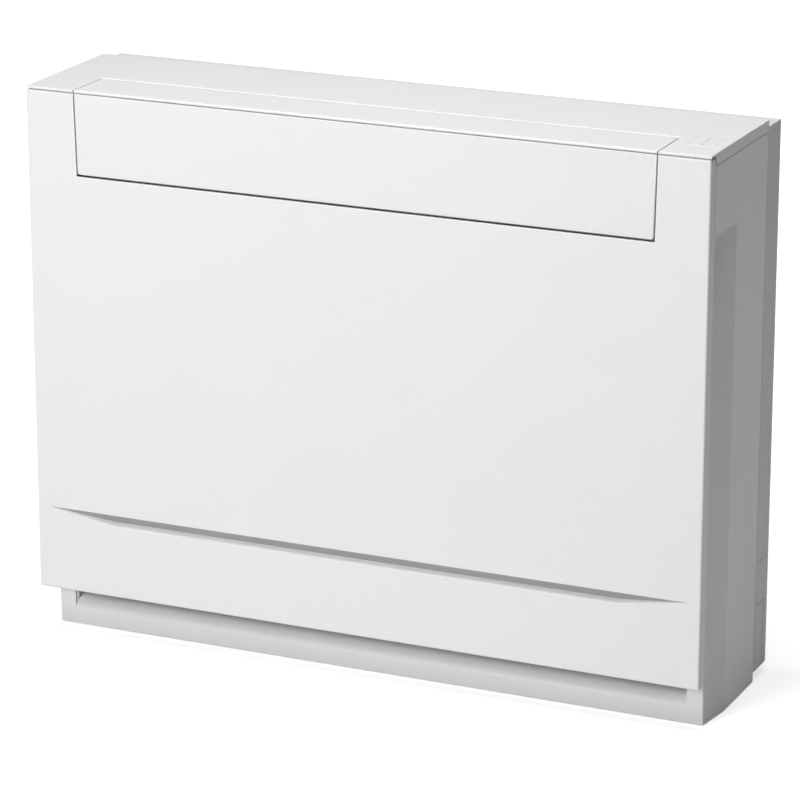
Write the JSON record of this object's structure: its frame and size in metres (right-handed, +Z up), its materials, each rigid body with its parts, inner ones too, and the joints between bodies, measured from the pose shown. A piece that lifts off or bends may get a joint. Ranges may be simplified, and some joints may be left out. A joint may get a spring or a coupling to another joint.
{
  "type": "floor console air conditioner",
  "caption": "Floor-standing console air conditioner with a tilting front panel, upper outlet flaps, side-to-side vanes, a lower outlet shutter and a turbo fan inside.",
  "frame": {"origin": "middle of the footprint on the floor", "axes": "+X to the right of a viewer in front, +Y to the wall behind, +Z up"},
  "size_m": [0.75, 0.207, 0.6],
  "materials": {
    "white_shell": "satin",
    "white_chassis": "satin",
    "duct_plastic": "matte",
    "vane_plastic": "satin",
    "fan_plastic": "satin",
    "steel": "satin",
    "brass": "satin",
    "motor_paint": "satin",
    "galvanised": "satin",
    "fin_aluminium": "satin",
    "copper": "satin",
    "box_plastic": "satin",
    "board_green": "satin",
    "dark_plastic": "matte",
    "button_grey": "satin",
    "filter_plastic": "matte"
  },
  "bodies": {
    "cabinet": {"top_cover": "white_shell", "front_casing": "white_shell", "lower_outlet_frame": "white_shell", "intake_grille": "white_shell", "rear_chassis": "white_chassis", "upper_outlet_box": "duct_plastic", "lower_duct": "duct_plastic", "left_scroll": "duct_plastic", "right_scroll": "duct_plastic", "bellmouth_plate": "duct_plastic", "drain_pan": "duct_plastic", "fan_motor": "motor_paint", "motor_bracket": "galvanised", "coil_fins": "fin_aluminium", "left_end_plate": "galvanised", "right_end_plate": "galvanised", "return_bends": "copper", "gas_pipe": "copper", "liquid_pipe": "copper", "gas_union": "brass", "liquid_union": "brass", "coil_sensor": "copper", "control_box": "box_plastic", "control_box_cover": "box_plastic", "circuit_board": "board_green", "indicator_board": "board_green", "button_board": "board_green", "terminal_block": "dark_plastic", "left_filter": "filter_plastic", "right_filter": "filter_plastic", "front_flap_motor": "motor_paint", "top_flap_motor": "motor_paint", "shutter_motor": "motor_paint", "casing_screws": "steel"},
    "fan": {"fan_rotor": "fan_plastic", "motor_shaft": "steel", "fan_nut": "brass"},
    "front_panel": {"front_panel": "white_shell"},
    "front_flap": {"front_flap": "white_shell"},
    "top_flap": {"top_flap": "white_shell"},
    "lower_shutter": {"lower_shutter": "vane_plastic"},
    "auto_button": {"auto_button": "button_grey"},
    "left_vane_1": {"left_vane_1": "vane_plastic"},
    "left_vane_2": {"left_vane_2": "vane_plastic"},
    "left_vane_3": {"left_vane_3": "vane_plastic"},
    "left_vane_4": {"left_vane_4": "vane_plastic"},
    "right_vane_1": {"right_vane_1": "vane_plastic"},
    "right_vane_2": {"right_vane_2": "vane_plastic"},
    "right_vane_3": {"right_vane_3": "vane_plastic"},
    "right_vane_4": {"right_vane_4": "vane_plastic"},
    "left_tie_bar": {"left_tie_bar": "vane_plastic"},
    "right_tie_bar": {"right_tie_bar": "vane_plastic"}
  },
  "joints": [
    {"name": "fan_spin", "type": "hinge", "parent": "cabinet", "child": "fan", "pos_m": [-0.05, 0.048, 0.323], "axis": [0, 1, 0], "continuous": true},
    {"name": "panel_tilt", "type": "hinge", "parent": "cabinet", "child": "front_panel", "pos_m": [0, -0.0955, 0.059], "axis": [1, 0, 0], "range_deg": [0, 35]},
    {"name": "front_flap_tilt", "type": "hinge", "parent": "cabinet", "child": "front_flap", "pos_m": [0, -0.0965, 0.518], "axis": [1, 0, 0], "range_deg": [0, 45]},
    {"name": "top_flap_lift", "type": "hinge", "parent": "cabinet", "child": "top_flap", "pos_m": [0, -0.0455, 0.596], "axis": [-1, 0, 0], "range_deg": [0, 60]},
    {"name": "shutter_swing", "type": "hinge", "parent": "cabinet", "child": "lower_shutter", "pos_m": [0, -0.07, 0.1], "axis": [1, 0, 0], "range_deg": [0, 80]},
    {"name": "button_press", "type": "slide", "parent": "cabinet", "child": "auto_button", "axis": [0, 1, 0], "range_m": [0, 0.002], "stiffness_N_per_m": 400, "springref_m": -0.0005},
    {"name": "left_vane_1_swing", "type": "hinge", "parent": "cabinet", "child": "left_vane_1", "pos_m": [-0.26, -0.062, 0.516], "axis": [0, 0, 1], "range_deg": [-30, 30]},
    {"name": "left_vane_2_swing", "type": "hinge", "parent": "cabinet", "child": "left_vane_2", "pos_m": [-0.19, -0.062, 0.516], "axis": [0, 0, 1], "range_deg": [-30, 30]},
    {"name": "left_vane_3_swing", "type": "hinge", "parent": "cabinet", "child": "left_vane_3", "pos_m": [-0.12, -0.062, 0.516], "axis": [0, 0, 1], "range_deg": [-30, 30]},
    {"name": "left_vane_4_swing", "type": "hinge", "parent": "cabinet", "child": "left_vane_4", "pos_m": [-0.05, -0.062, 0.516], "axis": [0, 0, 1], "range_deg": [-30, 30]},
    {"name": "left_tie_slide", "type": "slide", "parent": "cabinet", "child": "left_tie_bar", "axis": [1, 0, 0], "range_m": [-0.0068, 0.0068]},
    {"name": "right_vane_1_swing", "type": "hinge", "parent": "cabinet", "child": "right_vane_1", "pos_m": [0.05, -0.062, 0.516], "axis": [0, 0, 1], "range_deg": [-30, 30]},
    {"name": "right_vane_2_swing", "type": "hinge", "parent": "cabinet", "child": "right_vane_2", "pos_m": [0.12, -0.062, 0.516], "axis": [0, 0, 1], "range_deg": [-30, 30]},
    {"name": "right_vane_3_swing", "type": "hinge", "parent": "cabinet", "child": "right_vane_3", "pos_m": [0.19, -0.062, 0.516], "axis": [0, 0, 1], "range_deg": [-30, 30]},
    {"name": "right_vane_4_swing", "type": "hinge", "parent": "cabinet", "child": "right_vane_4", "pos_m": [0.26, -0.062, 0.516], "axis": [0, 0, 1], "range_deg": [-30, 30]},
    {"name": "right_tie_slide", "type": "slide", "parent": "cabinet", "child": "right_tie_bar", "axis": [1, 0, 0], "range_m": [-0.0068, 0.0068]}
  ],
  "couplings": [
    {"joint": "left_vane_1_swing", "follows": "left_tie_slide", "rad_per_m": -76.923},
    {"joint": "left_vane_2_swing", "follows": "left_tie_slide", "rad_per_m": -76.923},
    {"joint": "left_vane_3_swing", "follows": "left_tie_slide", "rad_per_m": -76.923},
    {"joint": "left_vane_4_swing", "follows": "left_tie_slide", "rad_per_m": -76.923},
    {"joint": "right_vane_1_swing", "follows": "right_tie_slide", "rad_per_m": -76.923},
    {"joint": "right_vane_2_swing", "follows": "right_tie_slide", "rad_per_m": -76.923},
    {"joint": "right_vane_3_swing", "follows": "right_tie_slide", "rad_per_m": -76.923},
    {"joint": "right_vane_4_swing", "follows": "right_tie_slide", "rad_per_m": -76.923}
  ]
}
